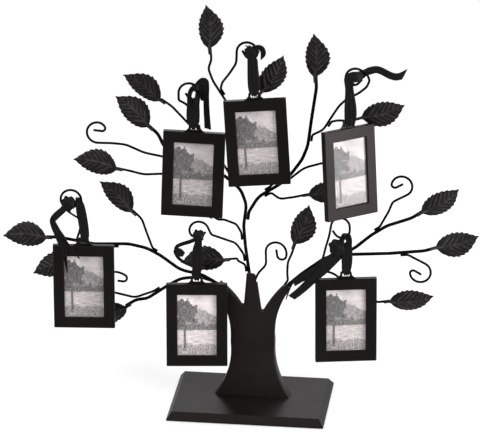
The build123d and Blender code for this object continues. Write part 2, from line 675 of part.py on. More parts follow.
def main():
    bars = make_tree()
    leaf = make_leaf()
    screws, nuts = make_screws()
    nodes = {
        "plinth": make_plinth(),
        "felt_underside": make_felt(),
        "trunk": make_trunk(),
        "trunk_screws": screws,
        "trunk_nuts": nuts,
    }
    for name in BRANCHES:
        nodes["branch_" + name] = bars[name].solid()
    for name, members in TWIG_GROUPS.items():
        nodes[name] = Compound([bars[member].solid() for member in members])
    for name, members in LEAF_GROUPS.items():
        nodes[name] = Compound([bars[member].leaf_place() * leaf for member in members])
    for name, frame in make_frames(bars).items():
        hook = bars["hook_" + name]
        nodes["hook_" + name] = hook.solid()
        nodes["ribbon_" + name] = frame.ribbon(hook)
        nodes["frame_" + name] = frame.place * frame.front()
        nodes["glass_" + name] = frame.place * frame.glass()
        nodes["print_" + name] = frame.place * frame.print_sheet()
        nodes["backboard_" + name] = frame.place * frame.board()
        print(name, "hangs at", tuple(round(v, 3) for v in hook.hang_point()))
    os.makedirs("parts", exist_ok=True)
    for name, shape in nodes.items():
        export_step(shape, f"parts/{name}.step")


if __name__ == "__main__":
    main()
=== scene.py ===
"""Looks of the photo tree stand: coated steel, stamped leaves, tied ribbons, glazed prints and a studio.

Sizes are in metres unless a name ends in MM. Places come from the frame's nodes and joints.
"""

import json
from math import cos, exp, pi, radians, sin, tan

import bmesh
import bpy
import numpy as np
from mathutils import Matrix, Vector, noise


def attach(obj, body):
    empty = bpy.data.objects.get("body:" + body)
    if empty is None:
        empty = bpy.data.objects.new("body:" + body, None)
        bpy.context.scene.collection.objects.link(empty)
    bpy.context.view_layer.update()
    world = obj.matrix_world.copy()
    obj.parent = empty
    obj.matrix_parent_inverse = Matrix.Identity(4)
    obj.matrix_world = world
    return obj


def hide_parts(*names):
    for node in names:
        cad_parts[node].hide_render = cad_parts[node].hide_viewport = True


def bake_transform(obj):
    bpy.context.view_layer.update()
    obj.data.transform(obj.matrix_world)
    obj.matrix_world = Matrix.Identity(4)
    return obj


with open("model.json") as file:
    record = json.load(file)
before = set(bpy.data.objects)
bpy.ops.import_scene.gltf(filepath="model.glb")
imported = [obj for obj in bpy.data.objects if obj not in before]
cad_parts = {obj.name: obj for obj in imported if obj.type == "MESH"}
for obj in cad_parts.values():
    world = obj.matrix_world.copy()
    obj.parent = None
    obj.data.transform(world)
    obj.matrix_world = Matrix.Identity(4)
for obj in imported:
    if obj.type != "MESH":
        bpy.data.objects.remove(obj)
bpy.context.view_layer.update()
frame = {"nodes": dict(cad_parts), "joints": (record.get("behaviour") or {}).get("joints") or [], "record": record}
NODES = frame["nodes"]
JOINTS = {joint["name"]: joint for joint in frame["joints"]}
MM = 0.001

# Names of the six hanging places
HANGERS = ["left", "lower_left", "upper_left", "top", "upper_right", "lower_right"]

# Camera at the photograph's angle
VIEW_AZIMUTH = 7.0
VIEW_ELEVATION = 22.0
VIEW_DISTANCE = 4.0
VIEW_TARGET = Vector((-0.01199, 0.0, 0.22095))
SENSOR_W = 0.036
PIXEL_SIZE = 0.00108
PHOTO_W = 480


# Materials

# Most of a noise texture's values lie between these
NOISE_LOW = 0.3
NOISE_HIGH = 0.7


def new_material(name):
    """A material with its node tree, its shader and a texture coordinate node."""
    material = bpy.data.materials.new(name)
    material.use_nodes = True
    tree = material.node_tree
    return material, tree, tree.nodes["Principled BSDF"], tree.nodes.new("ShaderNodeTexCoord")


def add_noise(tree, coords, scale, detail=2.0, stretch=None):
    """A noise texture's value, with its coordinates stretched along the axes if asked."""
    if stretch is not None:
        mapping = tree.nodes.new("ShaderNodeMapping")
        mapping.inputs["Scale"].default_value = stretch
        tree.links.new(coords, mapping.inputs["Vector"])
        coords = mapping.outputs["Vector"]
    texture = tree.nodes.new("ShaderNodeTexNoise")
    texture.inputs["Scale"].default_value = scale
    texture.inputs["Detail"].default_value = detail
    tree.links.new(coords, texture.inputs["Vector"])
    return texture.outputs["Fac"]


def add_ramp(tree, value, *stops):
    """A colour ramp through (position, colour) stops."""
    ramp = tree.nodes.new("ShaderNodeValToRGB")
    while len(ramp.color_ramp.elements) < len(stops):
        ramp.color_ramp.elements.new(0.5)
    for element, (position, colour) in zip(ramp.color_ramp.elements, stops):
        element.position = position
        element.color = (*colour, 1.0)
    tree.links.new(value, ramp.inputs["Fac"])
    return ramp.outputs["Color"]


def add_tones(tree, noise_value, dark, light):
    """A colour from dark to light that follows a noise texture's value."""
    return add_ramp(tree, noise_value, (NOISE_LOW, dark), (NOISE_HIGH, light))


def add_range(tree, value, low, high):
    """A noise texture's value spread over a new range."""
    node = tree.nodes.new("ShaderNodeMapRange")
    node.inputs["From Min"].default_value = NOISE_LOW
    node.inputs["From Max"].default_value = NOISE_HIGH
    node.inputs["To Min"].default_value = low
    node.inputs["To Max"].default_value = high
    tree.links.new(value, node.inputs["Value"])
    return node.outputs["Result"]


def add_bump(tree, shader, height, strength, distance):
    """Fine relief on a shader's surface from a height value."""
    bump = tree.nodes.new("ShaderNodeBump")
    bump.inputs["Strength"].default_value = strength
    bump.inputs["Distance"].default_value = distance
    tree.links.new(height, bump.inputs["Height"])
    tree.links.new(bump.outputs["Normal"], shader.inputs["Normal"])


def add_math(tree, operation, a, b=None, clamp=False):
    """A math node on sockets or numbers."""
    node = tree.nodes.new("ShaderNodeMath")
    node.operation = operation
    node.use_clamp = clamp
    for socket, value in zip(node.inputs, (a, b)):
        if isinstance(value, (int, float)):
            socket.default_value = value
        elif value is not None:
            tree.links.new(value, socket)
    return node.outputs["Value"]


WARM_TINT = (1.0, 0.87, 0.85)
COAT_CLOUD_SCALE = 22.0
COAT_CLOUD_DETAIL = 4.0
GLOSS_FROM_CLOUD = 0.6
GLOSS_FROM_SPECK = 0.4
COAT_BUMP = 0.5


def coated(name, dark, light, rough, specular, grain, relief):
    """Sprayed or moulded black finish: cloudy tone, uneven gloss and a fine orange peel.

    Grain is the scale of the orange peel and relief its height.
    """
    material, tree, shader, place = new_material(name)
    cloud = add_noise(tree, place.outputs["Object"], COAT_CLOUD_SCALE, COAT_CLOUD_DETAIL)
    speck = add_noise(tree, place.outputs["Object"], grain)
    tree.links.new(add_tones(tree, cloud, dark, light), shader.inputs["Base Color"])
    gloss = add_math(tree, "ADD", add_math(tree, "MULTIPLY", cloud, GLOSS_FROM_CLOUD),
                     add_math(tree, "MULTIPLY", speck, GLOSS_FROM_SPECK))
    tree.links.new(add_range(tree, gloss, *rough), shader.inputs["Roughness"])
    shader.inputs["Specular IOR Level"].default_value = specular
    shader.inputs["Specular Tint"].default_value = (*WARM_TINT, 1.0)
    add_bump(tree, shader, speck, strength=COAT_BUMP, distance=relief)
    return material


# Leaf black, and a paler colour on the stamped ridges that is a painted highlight, in patches from a noise
LEAF_BLACK = (0.0044, 0.0038, 0.0036)
LEAF_PAINTED_HIGHLIGHT = (0.04, 0.0365, 0.035)
LEAF_CLOUD_SCALE = 170.0
LEAF_HIGHLIGHT_PATCHES = (0.1, 1.15)
LEAF_HIGHLIGHT_STOPS = (0.15, 0.95)
LEAF_ROUGHNESS = (0.36, 0.5)
LEAF_SPECULAR = 0.13
LEAF_GRAIN = 1400.0
LEAF_GRAIN_RELIEF = 0.0001


def leaf_material():
    """The same sprayed black on the leaves, with a painted highlight in patches along the stamped ridges."""
    material, tree, shader, place = new_material("black_leaf_coat")
    ridge_highlight = tree.nodes.new("ShaderNodeAttribute")
    ridge_highlight.attribute_name = "ridge_highlight"
    cloud = add_noise(tree, place.outputs["Object"], LEAF_CLOUD_SCALE, COAT_CLOUD_DETAIL)
    patchy = add_range(tree, cloud, *LEAF_HIGHLIGHT_PATCHES)
    # Painted highlight: how far each point is raised, in patches of noise
    painted_highlight = add_math(tree, "MULTIPLY", ridge_highlight.outputs["Fac"], patchy, clamp=True)
    stops = zip(LEAF_HIGHLIGHT_STOPS, (LEAF_BLACK, LEAF_PAINTED_HIGHLIGHT))
    tree.links.new(add_ramp(tree, painted_highlight, *stops), shader.inputs["Base Color"])
    tree.links.new(add_range(tree, cloud, *LEAF_ROUGHNESS), shader.inputs["Roughness"])
    shader.inputs["Specular IOR Level"].default_value = LEAF_SPECULAR
    speck = add_noise(tree, place.outputs["Object"], LEAF_GRAIN)
    add_bump(tree, shader, speck, strength=COAT_BUMP, distance=LEAF_GRAIN_RELIEF)
    return material


FELT_TONES = ((0.006, 0.006, 0.006), (0.03, 0.03, 0.03))
FELT_FIBRE_SCALE = 900.0
FELT_NAP = 0.0004
ZINC_TONES = ((0.42, 0.42, 0.43), (0.62, 0.62, 0.6))
ZINC_ROUGHNESS = (0.28, 0.42)
ZINC_SPANGLE_SCALE = 700.0
HARDBOARD_TONES = ((0.012, 0.011, 0.01), (0.04, 0.036, 0.032))
HARDBOARD_FIBRE_SCALE = 500.0
HARDBOARD_FIBRE_STRETCH = (1.0, 1.0, 0.35)
HARDBOARD_RELIEF = 0.0002
GLASS_TONES = ((0.9, 0.92, 0.91), (0.97, 0.98, 0.98))
GLASS_ROUGHNESS = (0.03, 0.12)
GLASS_DUST_SCALE = 60.0


def felt_material():
    """Matt black felt with a fine nap."""
    material, tree, shader, place = new_material("black_felt")
    fibre = add_noise(tree, place.outputs["Object"], FELT_FIBRE_SCALE, detail=6.0)
    tree.links.new(add_tones(tree, fibre, *FELT_TONES), shader.inputs["Base Color"])
    shader.inputs["Roughness"].default_value = 0.95
    add_bump(tree, shader, fibre, strength=0.8, distance=FELT_NAP)
    return material


def zinc_material():
    """Zinc-plated steel with a patchy tone."""
    material, tree, shader, place = new_material("zinc_steel")
    spangle = add_noise(tree, place.outputs["Object"], ZINC_SPANGLE_SCALE, detail=3.0)
    tree.links.new(add_tones(tree, spangle, *ZINC_TONES), shader.inputs["Base Color"])
    tree.links.new(add_range(tree, spangle, *ZINC_ROUGHNESS), shader.inputs["Roughness"])
    shader.inputs["Metallic"].default_value = 1.0
    return material


def hardboard_material():
    """Dark fibreboard whose fibres run upwards."""
    material, tree, shader, place = new_material("hardboard")
    fibre = add_noise(tree, place.outputs["Object"], HARDBOARD_FIBRE_SCALE, detail=5.0,
                      stretch=HARDBOARD_FIBRE_STRETCH)
    tree.links.new(add_tones(tree, fibre, *HARDBOARD_TONES), shader.inputs["Base Color"])
    shader.inputs["Roughness"].default_value = 0.8
    add_bump(tree, shader, fibre, strength=0.6, distance=HARDBOARD_RELIEF)
    return material


def glass_material():
    """Thin clear glass: mostly see-through, with a faint dust that dulls its gloss."""
    material, tree, shader, place = new_material("clear_glass")
    dust = add_noise(tree, place.outputs["Object"], GLASS_DUST_SCALE, detail=5.0)
    tree.links.new(add_range(tree, dust, *GLASS_ROUGHNESS), shader.inputs["Roughness"])
    tree.links.new(add_tones(tree, dust, *GLASS_TONES), shader.inputs["Base Color"])
    shader.inputs["Alpha"].default_value = 0.045
    shader.inputs["IOR"].default_value = 1.5
    return material


RIBBON_TONES = ((0.0028, 0.0025, 0.0025), (0.0064, 0.0057, 0.0056))
RIBBON_ROUGHNESS = (0.42, 0.6)
RIBBON_SLUB_SCALE = 6.0
RIBBON_SLUB_STRETCH = (4.0, 1.0, 1.0)
RIBBON_THREAD_RELIEF = 0.0001


def ribbon_material():
    """Black satin: fine lengthwise threads and a soft sheen. U runs across the ribbon and V along it."""
    material, tree, shader, place = new_material("black_ribbon")
    threads = tree.nodes.new("ShaderNodeTexWave")
    threads.bands_direction = "X"
    threads.inputs["Scale"].default_value = 9.0
    threads.inputs["Distortion"].default_value = 1.5
    tree.links.new(place.outputs["UV"], threads.inputs["Vector"])
    slub = add_noise(tree, place.outputs["UV"], RIBBON_SLUB_SCALE, detail=3.0, stretch=RIBBON_SLUB_STRETCH)
    tree.links.new(add_tones(tree, slub, *RIBBON_TONES), shader.inputs["Base Color"])
    tree.links.new(add_range(tree, slub, *RIBBON_ROUGHNESS), shader.inputs["Roughness"])
    shader.inputs["Specular IOR Level"].default_value = 0.08
    shader.inputs["Sheen Weight"].default_value = 0.02
    shader.inputs["Sheen Roughness"].default_value = 0.4
    add_bump(tree, shader, threads.outputs["Fac"], strength=0.25, distance=RIBBON_THREAD_RELIEF)
    return material


# The printed landscape, in shares of the print's width and height from its lower left corner
PRINT_TINT = (1.0, 0.89, 0.9)

# Noise scale, detail and stretch, and darkest and lightest grey, of each part
PRINT_GREYS = {
    "sky": (3.0, 6.0, (1.0, 2.2, 1.0), 0.5, 0.98),
    "hills": (14.0, 6.0, (1.0, 1.6, 1.0), 0.22, 0.5),
    "wood": (30.0, 6.0, None, 0.015, 0.3),
    "water": (7.0, 5.0, (1.0, 9.0, 1.0), 0.4, 0.95),
    "grass": (46.0, 5.0, (1.0, 0.5, 1.0), 0.05, 0.66),
    "tree": (24.0, 6.0, None, 0.006, 0.2),
}

# Noise scale, level, roll and sharpness of each skyline, from the farthest to the nearest
PRINT_SKYLINES = {
    "hills": (2.6, 0.68, 0.5, 60.0),
    "wood": (9.0, 0.52, 0.28, 60.0),
    "water": (1.5, 0.42, 0.04, 90.0),
    "grass": (5.0, 0.2, 0.22, 60.0),
}

# Centre and reach of each clump of the tree's crown
PRINT_CLUMPS = [(0.25, 0.72, 0.24), (0.16, 0.55, 0.16), (0.36, 0.6, 0.15)]
CLUMP_FLATNESS = 2.0
CLUMP_RAGGED_SCALE = 9.0
CLUMP_RAGGED_REACH = 0.45
CLUMP_SHARPNESS = 40.0
STEM_MIDDLE = 0.24
STEM_HALF_W = 0.028
STEM_FOOT = 0.12
STEM_TOP = 0.6
STEM_SIDE_SHARPNESS = 120.0
STEM_END_SHARPNESS = 60.0


def print_material():
    """Grey photograph of a lake below hills, with a tree on the near shore. U and V run from 0 to 1."""
    material, tree, shader, place = new_material("photo_print")
    split = tree.nodes.new("ShaderNodeSeparateXYZ")
    tree.links.new(place.outputs["UV"], split.inputs["Vector"])
    u, v = split.outputs["X"], split.outputs["Y"]

    def minus(a, b):
        return add_math(tree, "SUBTRACT", a, b)

    def times(a, b, clamp=False):
        return add_math(tree, "MULTIPLY", a, b, clamp)

    def skyline(scale, level, roll, sharpness):
        """1 below a rolling skyline."""
        wave = add_noise(tree, place.outputs["UV"], scale, detail=5.0, stretch=(1.0, 0.0, 0.0))
        line = add_math(tree, "ADD", level, times(minus(wave, 0.5), roll))
        return times(minus(line, v), sharpness, clamp=True)

    def greys(scale, detail, stretch, dark, light):
        """Mottled grey between two levels, with the print's tint."""
        value = add_noise(tree, place.outputs["UV"], scale, detail, stretch)
        tones = [[level * part for part in PRINT_TINT] for level in (dark, light)]
        return add_tones(tree, value, *tones)

    def layer(under, over, mask):
        """One colour laid over another where the mask is 1."""
        mix = tree.nodes.new("ShaderNodeMix")
        mix.data_type = "RGBA"
        tree.links.new(mask, mix.inputs["Factor"])
        tree.links.new(under, mix.inputs["A"])
        tree.links.new(over, mix.inputs["B"])
        return mix.outputs["Result"]

    picture = greys(*PRINT_GREYS["sky"])
    for part, outline in PRINT_SKYLINES.items():
        picture = layer(picture, greys(*PRINT_GREYS[part]), skyline(*outline))
    bark = greys(*PRINT_GREYS["tree"])
    ragged = add_noise(tree, place.outputs["UV"], CLUMP_RAGGED_SCALE, detail=6.0)
    for centre_u, centre_v, spread in PRINT_CLUMPS:
        across = add_math(tree, "POWER", minus(u, centre_u), 2.0)
        up = add_math(tree, "POWER", minus(v, centre_v), 2.0)
        reach = add_math(tree, "SQRT", add_math(tree, "ADD", across, times(up, CLUMP_FLATNESS)))
        reach = add_math(tree, "ADD", reach, times(minus(ragged, 0.5), CLUMP_RAGGED_REACH))
        picture = layer(picture, bark, times(minus(spread, reach), CLUMP_SHARPNESS, clamp=True))
    off_middle = add_math(tree, "ABSOLUTE", minus(u, STEM_MIDDLE))
    beside = times(minus(STEM_HALF_W, off_middle), STEM_SIDE_SHARPNESS, clamp=True)
    below = times(minus(STEM_TOP, v), STEM_END_SHARPNESS, clamp=True)
    above = times(minus(v, STEM_FOOT), STEM_END_SHARPNESS, clamp=True)
    picture = layer(picture, bark, times(times(beside, below), above))
    tree.links.new(picture, shader.inputs["Base Color"])
    shader.inputs["Roughness"].default_value = 0.45
    return material


WARM_BLACK = (0.0084, 0.0068, 0.0065)
WARM_GREY = (0.0145, 0.0118, 0.0113)
PLINTH_BLACK = (0.0056, 0.0046, 0.0044)
PLINTH_GREY = (0.0098, 0.008, 0.0077)
FRAME_BLACK = (0.0026, 0.0022, 0.0021)
FRAME_GREY = (0.0044, 0.0037, 0.0035)
BAR_BLACK = (0.0014, 0.0012, 0.0012)
BAR_GREY = (0.0028, 0.0024, 0.0023)
BAR_NAME_STARTS = ("branch_", "hook_", "leaf_twigs_", "scroll_twigs_")

# Dark and light tone, range of roughness, specular level, grain and relief of each coat
COATS = {
    "black_powder_coat": (WARM_BLACK, WARM_GREY, (0.38, 0.52), 0.09, 1400.0, 0.00012),
    "black_bar_coat": (BAR_BLACK, BAR_GREY, (0.4, 0.55), 0.03, 1400.0, 0.0001),
    "black_plinth": (PLINTH_BLACK, PLINTH_GREY, (0.34, 0.46), 0.056, 1100.0, 0.0001),
    "black_frame": (FRAME_BLACK, FRAME_GREY, (0.3, 0.42), 0.085, 1800.0, 0.00006),
}
MATERIALS = {
    **{name: coated(name, *coat) for name, coat in COATS.items()},
    "black_leaf_coat": leaf_material(),
    "black_felt": felt_material(),
    "zinc_steel": zinc_material(),
    "hardboard": hardboard_material(),
    "clear_glass": glass_material(),
    "black_ribbon": ribbon_material(),
    "photo_print": print_material(),
}
for subpart in frame["record"]["subparts"]:
    data = NODES[subpart["node"]].data
    data.materials.clear()
    is_bar = subpart["node"].startswith(BAR_NAME_STARTS)
    data.materials.append(MATERIALS["black_bar_coat" if is_bar else subpart["material_slot"]])


# Mesh helpers

def add_piece(name, bm, slot, material=None, smooth=True):
    """A mesh object from a bmesh, with the slot's material or the one named."""
    mesh = bpy.data.meshes.new(name)
    bm.normal_update()
    bm.to_mesh(mesh)
    bm.free()
    for polygon in mesh.polygons:
        polygon.use_smooth = smooth
    mesh.materials.append(MATERIALS[material or slot])
    piece = bpy.data.objects.new(name, mesh)
    bpy.context.scene.collection.objects.link(piece)
    return piece


def apply_modifiers(piece):
    """Bakes a piece's modifiers into its mesh."""
    depsgraph = bpy.context.evaluated_depsgraph_get()
    mesh = bpy.data.meshes.new_from_object(piece.evaluated_get(depsgraph))
    piece.modifiers.clear()
    piece.data = mesh


SAME_PLACE = 1e-6


def islands(node):
    """The corner points of each separate solid in a node's mesh, as arrays."""
    bm = bmesh.new()
    bm.from_mesh(NODES[node].data)
    bmesh.ops.remove_doubles(bm, verts=bm.verts, dist=SAME_PLACE)
    left = set(bm.verts)
    found = []
    for seed in bm.verts:
        if seed not in left:
            continue
        left.remove(seed)
        group, queue = [seed], [seed]
        while queue:
            for edge in queue.pop().link_edges:
                for vert in edge.verts:
                    if vert in left:
                        left.remove(vert)
                        group.append(vert)
                        queue.append(vert)
        found.append(np.array([v.co[:] for v in group]))
    bm.free()
    return sorted(found, key=lambda points: tuple(points.mean(0)))


# Stamped leaves

LEAF_L = 48 * MM
LEAF_HALF_W = 13 * MM
LEAF_BOW = 3.0 * MM
LEAF_TAB = 7 * MM
LEAF_TAB_HALF_W = 1.3 * MM
LEAF_TAB_END_HALF_W = 1.04 * MM
LEAF_TAB_SHARES = (-0.08, -0.03)
LEAF_CUP_R = 30 * MM
LEAF_T = 0.7 * MM
LEAF_TEETH = 9
LEAF_SKEW = 0.8
LEAF_FULLNESS = 0.75
LEAF_TIP_DRAW = 0.5
LEAF_TIP_DRAW_POWER = 4
LEAF_TIP_TAPER = 8
TOOTH_STEPS = (0.12, 0.3, 0.48, 0.66, 0.84, 1.0)
TOOTH_REACH = 1.5 * MM
TOOTH_TAPER_AT_TAB = 4
TOOTH_TAPER_AT_TIP = 5
LEAF_COLUMNS = 40
LEAF_VEINS = 6
VEIN_SLOPE = radians(46)
VEIN_HALF_W = 0.8 * MM
VEIN_RISE = 0.9 * MM
VEIN_EDGE_FADE = 2.2 * MM
VEIN_END_SPACE = 1.6
VEIN_CURVE = 0.25
VEIN_FIRST_SHARE = 0.02
MIDRIB_HALF_W = 0.9 * MM
MIDRIB_RISE = 1.1 * MM
MIDRIB_AT_TIP = 0.25
MIDRIB_FADE_POWER = 3
LEAF_DROOP = 1.6 * MM
LEAF_DROOP_SPREAD = (0.6, 0.8)
LEAF_DROOP_PLACES = 31
LEAF_DROOP_POWER = 2.5
LEAF_MIDDLE_CROWDING = 0.28
TAB_END_DEPTH = 0.25 * MM
BLUNT_END_DEPTH = 5 * MM


def leaf_half_width(share):
    """Half width of the leaf's smooth outline at a share of its length."""
    share = min(max(share, 0.0), 1.0)
    power = LEAF_FULLNESS + LEAF_TIP_DRAW * share ** LEAF_TIP_DRAW_POWER
    return LEAF_HALF_W * sin(pi * share ** LEAF_SKEW) ** power


def leaf_rows():
    """(share of the length, half width) along the leaf, from the tab to the tip, with teeth."""
    rows = [(-LEAF_TAB / LEAF_L, LEAF_TAB_END_HALF_W)]
    rows += [(share, LEAF_TAB_HALF_W) for share in LEAF_TAB_SHARES]
    for tooth in range(LEAF_TEETH):
        for step in TOOTH_STEPS:
            share = (tooth + step) / LEAF_TEETH
            taper = min(1.0, TOOTH_TAPER_AT_TAB * share, TOOTH_TAPER_AT_TIP * (1 - share))
            reach = TOOTH_REACH * (step - 0.5) * taper
            least = LEAF_TAB_HALF_W * min(1, LEAF_TIP_TAPER * (1 - share))
            rows.append((share, max(leaf_half_width(share) + reach, least)))
    return rows


def leaf_bow(share):
    """How far the leaf's middle line bows to one side."""
    share = min(max(share, 0.0), 1.0)
    return -4 * LEAF_BOW * share * (1 - share)


def leaf_relief(x, y, half_width):
    """Rise of the midrib and the side veins at y off the middle line, and how far it is raised, which sets the
    painted highlight.
    """
    share = x / LEAF_L
    fade = max(0.0, 1 - max(share, 0.0) ** MIDRIB_FADE_POWER)
    midrib = exp(-((y / MIDRIB_HALF_W) ** 2)) * (MIDRIB_AT_TIP + (1 - MIDRIB_AT_TIP) * fade)
    spacing = LEAF_L / (LEAF_VEINS + VEIN_END_SPACE)
    along = x - abs(y) / tan(VEIN_SLOPE) * (1 + VEIN_CURVE * abs(y) / LEAF_HALF_W)
    number = min(max(round(along / spacing), 1), LEAF_VEINS)
    off = (along - number * spacing) * sin(VEIN_SLOPE)
    edge = min(1.0, max(0.0, (half_width - abs(y)) / VEIN_EDGE_FADE))
    vein = exp(-((off / VEIN_HALF_W) ** 2)) * edge if share > VEIN_FIRST_SHARE else 0.0
    return MIDRIB_RISE * midrib + VEIN_RISE * vein * (1 - midrib), max(midrib, vein)


def leaf_frame(points):
    """Seat, direction, side and face normal of a leaf solid, found from its corner points."""
    middle = points.mean(0)
    axes = np.linalg.svd(points - middle, full_matrices=False)[2]
    along, across = (points - middle) @ axes[0], (points - middle) @ axes[1]
    ends = []
    for sign in (1, -1):
        reach = (sign * along).max()
        near = sign * along > reach - TAB_END_DEPTH
        blunt = np.abs(across[sign * along > reach - BLUNT_END_DEPTH]).max()
        ends.append((blunt, points[near]))
    ends.sort(key=lambda end: end[0])
    tab, tip = (Vector(end[1].mean(0)) for end in ends)
    direction = (tip - tab).normalized()
    corners = ends[0][1]
    side = Vector(np.linalg.svd(corners - corners.mean(0), full_matrices=False)[2][0])
    side = (side - direction * side.dot(direction)).normalized()
    normal = direction.cross(side)
    if normal.y > 0:
        normal, side = -normal, -side
    return tab + direction * LEAF_TAB - normal * (LEAF_T / 2), direction, side, normal


def add_leaf(bm, points):
    """One veined leaf over a leaf solid's place."""
    seat, direction, side, normal = leaf_frame(points)
    least, spread = LEAF_DROOP_SPREAD
    droop = LEAF_DROOP * (least + spread * abs(noise.noise(seat * LEAF_DROOP_PLACES)))
    uv = bm.loops.layers.uv.verify()
    ridge_highlight = bm.verts.layers.float.get("ridge_highlight") or bm.verts.layers.float.new("ridge_highlight")
    grid = []
    for share, half_width in leaf_rows():
        row = []
        for column in range(LEAF_COLUMNS + 1):
            t = 2 * column / LEAF_COLUMNS - 1
            x = share * LEAF_L
            y = half_width * ((1 - LEAF_MIDDLE_CROWDING) * t + LEAF_MIDDLE_CROWDING * t ** 3)
            rise, raised = leaf_relief(x, y, half_width)
            y_off = y + leaf_bow(share)
            cup = y_off * y_off / (2 * LEAF_CUP_R)
            z = LEAF_T - cup - droop * max(share, 0.0) ** LEAF_DROOP_POWER + rise
            vert = bm.verts.new(seat + direction * x + side * y_off + normal * z)
            # How far the point is raised, kept for the painted highlight in the leaf coat
            vert[ridge_highlight] = raised
            row.append(vert)
        grid.append(row)
    for low, high in zip(grid, grid[1:]):
        for a, b, c, d in zip(low, high, high[1:], low[1:]):
            face = bm.faces.new((a, d, c, b))
            for loop in face.loops:
                loop[uv].uv = (loop.vert.co.x, loop.vert.co.z)


for node in [name for name in NODES if name.startswith("leaves_")]:
    bm = bmesh.new()
    for points in islands(node):
        add_leaf(bm, points)
    leaves = add_piece(node + "_veined", bm, "black_powder_coat", "black_leaf_coat")
    shell = leaves.modifiers.new("plate", "SOLIDIFY")
    shell.thickness = LEAF_T
    shell.offset = -1.0
    apply_modifiers(leaves)
    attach(leaves, "tree")
    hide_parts(node)


# Prints

PRINT_T = 0.3 * MM
SHEET_CORNERS = [(-1, -1), (1, -1), (1, 1), (-1, 1)]
SHEET_SIDES = [(0, 1, 2, 3), (7, 6, 5, 4), (0, 4, 5, 1), (1, 5, 6, 2), (2, 6, 7, 3), (3, 7, 4, 0)]


def add_print(name):
    """A thin sheet with picture coordinates, lying where the frame's print lies."""
    points = islands("print_" + name)[0]
    middle = Vector(points.mean(0))
    edges = np.linalg.svd(points - points.mean(0), full_matrices=False)[2]
    up = Vector(edges[0]) if edges[0][2] > 0 else -Vector(edges[0])
    right = Vector(edges[1]) if edges[1][0] > 0 else -Vector(edges[1])
    half_h = max(abs((Vector(p) - middle).dot(up)) for p in points)
    half_w = max(abs((Vector(p) - middle).dot(right)) for p in points)
    front = right.cross(up)
    bm = bmesh.new()
    uv = bm.loops.layers.uv.verify()
    corners = []
    for face_side in (1, -1):
        for s, t in SHEET_CORNERS:
            flat = middle + right * (s * half_w) + up * (t * half_h)
            corners.append(bm.verts.new(flat + front * (face_side * PRINT_T / 2)))
    for side in SHEET_SIDES:
        face = bm.faces.new([corners[i] for i in side])
        for loop in face.loops:
            off = loop.vert.co - middle
            loop[uv].uv = (0.5 + off.dot(right) / (2 * half_w), 0.5 + off.dot(up) / (2 * half_h))
    sheet = add_piece("print_" + name + "_picture", bm, "photo_print", smooth=False)
    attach(sheet, "picture_" + name)
    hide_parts("print_" + name)


for name in HANGERS:
    add_print(name)


# Tied ribbons

RIBBON_W = 12 * MM
RIBBON_T = 0.3 * MM
RIBBON_COLUMNS = 12
RIBBON_STEP = 1.2 * MM
LEAST_W_MM = 0.3
STRAP_FRONT_MM = 4.0
EYE_STRAP_W_MM = 5.0
EYE_DROP_MM = 2.2
EYE_FRONT_SHARE = 0.75
EYE_RISE_SHARE = 0.3
PLEATS = 2.5
PLEAT_DRIFT = 0.9
PLEAT_DRIFT_RATE = 90
PLEAT_RISE = 0.25 * MM
GATHER_RISE = 0.07
GATHER_FROM_W = 4 * MM
WANDER_RISE = 0.5 * MM
WANDER_RATE = 120
WANDER_ACROSS = 3
KNOT_WRAPS = 9.0
KNOT_WRAP_WAY = (0.8, 0.5, 0.6)
KNOT_CREASE = 0.09
KNOT_SWELL = 0.24
KNOT_SWELL_RATE = 1.6
KNOT_SWELL_PLACES = 60
KNOT_TURNS = 2
KNOT_SUBDIVISIONS = 4


def smooth_route(route):
    """Points along a Catmull-Rom curve through a route of (x, y, z, width, lie) rows in millimetres."""
    rows = [np.array(row, float) for row in route]
    rows = [2 * rows[0] - rows[1], *rows, 2 * rows[-1] - rows[-2]]
    points = []
    for p, q, r, s in zip(rows, rows[1:], rows[2:], rows[3:]):
        count = max(2, int(np.linalg.norm((r - q)[:3]) * MM / RIBBON_STEP))
        for number in range(count):
            t = number / count
            points.append(0.5 * (2 * q + (r - p) * t + (2 * p - 5 * q + 4 * r - s) * t ** 2
                                 + (3 * q - p - 3 * r + s) * t ** 3))
    return points + [rows[-2]]


def band_rows(origin, route):
    """Centre, side, face normal, width and distance along for each row of a strip."""
    points = smooth_route(route)
    centres = [origin + Vector(p[:3]) * MM for p in points]
    rows = []
    length = 0.0
    for number, (point, centre) in enumerate(zip(points, centres)):
        ahead = centres[min(number + 1, len(points) - 1)]
        behind = centres[max(number - 1, 0)]
        tangent = (ahead - behind).normalized()
        lie = radians(point[4])
        side = Vector((cos(lie), 0, sin(lie)))
        side = (side - tangent * side.dot(tangent)).normalized()
        length += (centre - behind).length if number else 0.0
        rows.append((centre, side, side.cross(tangent), max(point[3], LEAST_W_MM) * MM, length))
    return rows


